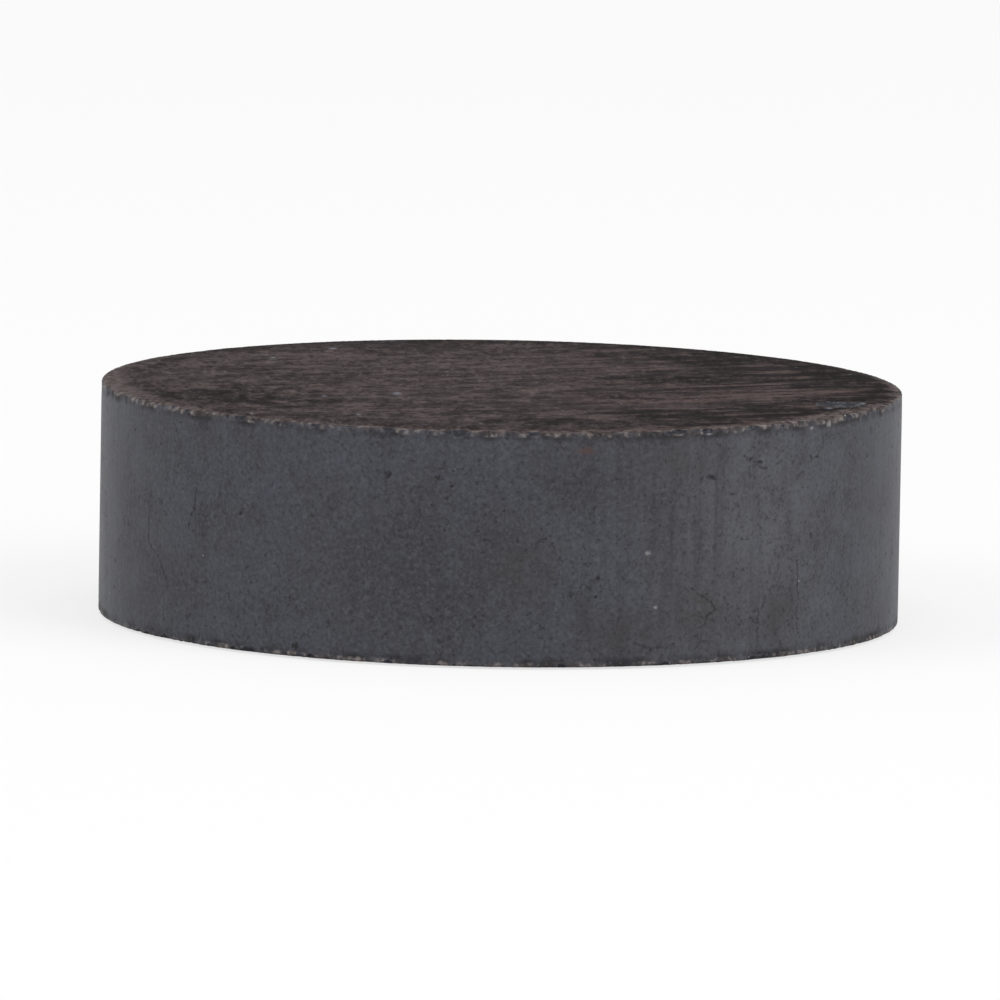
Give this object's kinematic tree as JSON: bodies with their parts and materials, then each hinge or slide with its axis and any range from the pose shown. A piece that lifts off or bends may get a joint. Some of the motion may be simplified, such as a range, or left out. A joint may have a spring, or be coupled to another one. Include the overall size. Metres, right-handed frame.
{
  "type": "disc magnet",
  "caption": "Flat round disc magnet of sintered black ferrite, with ground pole faces, a plain fired wall and worn, lightly chipped rims.",
  "frame": {"origin": "centre of the lower pole face, on the surface that the disc lies on", "axes": "+Z along the disc's axis, from the lower pole face to the upper one; the pictured side faces -Y, with +X to its right"},
  "size_m": [0.02, 0.02, 0.0059],
  "materials": {
    "ferrite": "bare sintered ferrite: satin fired wall, ground pole faces"
  },
  "bodies": {
    "root": {"disc_magnet": "ferrite"}
  },
  "joints": []
}
